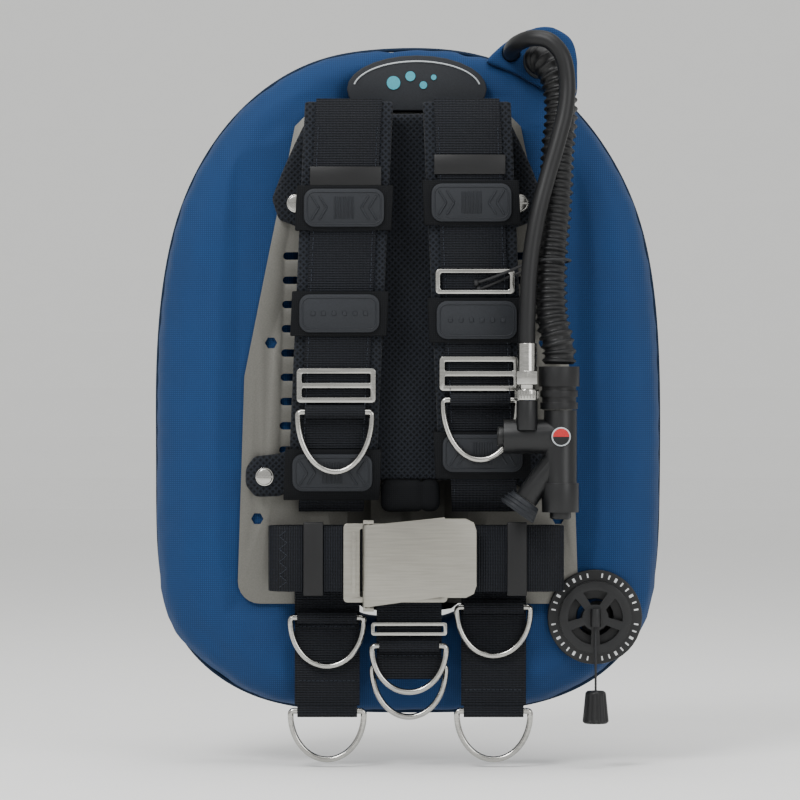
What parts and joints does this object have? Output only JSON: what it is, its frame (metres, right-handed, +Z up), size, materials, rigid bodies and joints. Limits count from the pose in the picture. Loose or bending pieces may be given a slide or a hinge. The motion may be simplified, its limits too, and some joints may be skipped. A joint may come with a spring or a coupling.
{
  "type": "buoyancy compensator",
  "caption": "Back-inflation diving buoyancy compensator: donut wing on a bent steel plate, webbing harness, cam buckle, inflator hose and dump valve.",
  "frame": {"origin": "centre of the wing's rear face, where it meets the tank", "axes": "+Z up towards the diver's head, -Y towards the diver's back, +Y towards the tank, +X to the side with the inflator"},
  "size_m": [0.3812, 0.18, 0.5684],
  "materials": {
    "blue_nylon": "woven nylon",
    "black_mesh": "spacer mesh",
    "webbing": "ribbed webbing",
    "rubber": "matte",
    "cord": "braided",
    "plastic": "moulded",
    "polished_steel": "polished stainless",
    "blasted_steel": "bead-blasted stainless"
  },
  "bodies": {
    "harness_and_wing": {"wing_air_cell": "blue_nylon", "wing_center_panel": "blue_nylon", "hose_hood": "blue_nylon", "back_pad": "black_mesh", "lumbar_pad": "black_mesh", "shoulder_pad_left": "black_mesh", "shoulder_pad_right": "black_mesh", "shoulder_webbing_left": "webbing", "shoulder_webbing_right": "webbing", "waist_belt_left": "webbing", "waist_belt_right": "webbing", "drop_strap_left": "webbing", "drop_strap_right": "webbing", "crotch_strap": "webbing", "crest_patch": "rubber", "belt_keeper_left": "rubber", "belt_keeper_right": "rubber", "hose_elbow": "rubber", "corrugated_hose": "rubber", "lp_hose": "rubber", "hose_cuff": "rubber", "mouthpiece": "rubber", "keeper_left_1": "rubber", "keeper_left_2": "rubber", "keeper_left_3": "rubber", "keeper_right_1": "rubber", "keeper_right_2": "rubber", "keeper_right_3": "rubber", "dump_valve_body": "plastic", "dump_valve_cap": "plastic", "inflator_body": "plastic", "badge": "plastic", "pad_screw_1": "polished_steel", "pad_screw_2": "polished_steel", "pad_screw_3": "polished_steel", "pad_screw_4": "polished_steel", "triglide_left": "polished_steel", "triglide_right": "polished_steel", "square_ring": "polished_steel", "crotch_slider": "polished_steel", "lp_ferrule": "polished_steel", "lp_hose_end": "polished_steel", "backplate": "blasted_steel", "buckle_base": "blasted_steel"},
    "shoulder_ring_left": {"shoulder_ring_left": "polished_steel"},
    "shoulder_ring_right": {"shoulder_ring_right": "polished_steel"},
    "drop_ring_left_upper": {"drop_ring_left_upper": "polished_steel"},
    "drop_ring_left_lower": {"drop_ring_left_lower": "polished_steel"},
    "drop_ring_right_upper": {"drop_ring_right_upper": "polished_steel"},
    "drop_ring_right_lower": {"drop_ring_right_lower": "polished_steel"},
    "crotch_ring_front": {"crotch_ring_front": "polished_steel"},
    "crotch_ring_rear": {"crotch_ring_rear": "polished_steel"},
    "buckle_lever": {"buckle_lever": "blasted_steel"},
    "inflate_button": {"inflate_button": "plastic"},
    "exhaust_button": {"exhaust_button": "plastic"},
    "dump_poppet": {"dump_poppet": "rubber"},
    "lp_coupler_sleeve": {"lp_coupler_sleeve": "polished_steel"},
    "dump_pull": {"pull_cord": "cord", "pull_toggle": "rubber"}
  },
  "joints": [
    {"name": "shoulder_ring_left_swing", "type": "hinge", "parent": "harness_and_wing", "child": "shoulder_ring_left", "pos_m": [-0.05544, -0.07012, -0.04204], "axis": [-1, 0, 0], "range_deg": [0, 120]},
    {"name": "shoulder_ring_right_swing", "type": "hinge", "parent": "harness_and_wing", "child": "shoulder_ring_right", "pos_m": [0.05503, -0.07075, -0.03282], "axis": [-1, 0, 0], "range_deg": [0, 8]},
    {"name": "drop_ring_left_upper_swing", "type": "hinge", "parent": "harness_and_wing", "child": "drop_ring_left_upper", "pos_m": [-0.062, -0.03815, -0.2], "axis": [-1, 0, 0], "range_deg": [0, 90]},
    {"name": "drop_ring_left_lower_swing", "type": "hinge", "parent": "harness_and_wing", "child": "drop_ring_left_lower", "pos_m": [-0.062, -0.03235, -0.272], "axis": [-1, 0, 0], "range_deg": [-30, 120]},
    {"name": "drop_ring_right_upper_swing", "type": "hinge", "parent": "harness_and_wing", "child": "drop_ring_right_upper", "pos_m": [0.066, -0.03815, -0.192], "axis": [-1, 0, 0], "range_deg": [0, 90]},
    {"name": "drop_ring_right_lower_swing", "type": "hinge", "parent": "harness_and_wing", "child": "drop_ring_right_lower", "pos_m": [0.066, -0.03235, -0.272], "axis": [-1, 0, 0], "range_deg": [-30, 120]},
    {"name": "crotch_ring_front_swing", "type": "hinge", "parent": "harness_and_wing", "child": "crotch_ring_front", "pos_m": [0.001, -0.04865, -0.221], "axis": [-1, 0, 0], "range_deg": [0, 120]},
    {"name": "crotch_ring_rear_swing", "type": "hinge", "parent": "harness_and_wing", "child": "crotch_ring_rear", "pos_m": [0.001, -0.03705, -0.237], "axis": [-1, 0, 0], "range_deg": [-15, 50]},
    {"name": "buckle_lever_open", "type": "hinge", "parent": "harness_and_wing", "child": "buckle_lever", "pos_m": [-0.03, -0.0738, -0.157], "axis": [0, 0, -1], "range_deg": [0, 130]},
    {"name": "inflate_press", "type": "slide", "parent": "harness_and_wing", "child": "inflate_button", "axis": [1, 0, 0], "range_m": [0, 0.003], "stiffness_N_per_m": 400},
    {"name": "exhaust_press", "type": "slide", "parent": "harness_and_wing", "child": "exhaust_button", "axis": [0, 0, 1], "range_m": [0, 0.003], "stiffness_N_per_m": 400},
    {"name": "dump_pull_down", "type": "slide", "parent": "harness_and_wing", "child": "dump_pull", "axis": [0, 0, -1], "range_m": [0, 0.005], "stiffness_N_per_m": 400},
    {"name": "dump_poppet_lift", "type": "slide", "parent": "harness_and_wing", "child": "dump_poppet", "axis": [0, -1, 0], "range_m": [0, 0.005]},
    {"name": "coupler_sleeve_back", "type": "slide", "parent": "harness_and_wing", "child": "lp_coupler_sleeve", "axis": [0, 0, 1], "range_m": [0, 0.003], "stiffness_N_per_m": 400}
  ],
  "couplings": [
    {"joint": "dump_poppet_lift", "follows": "dump_pull_down", "ratio": 1}
  ]
}
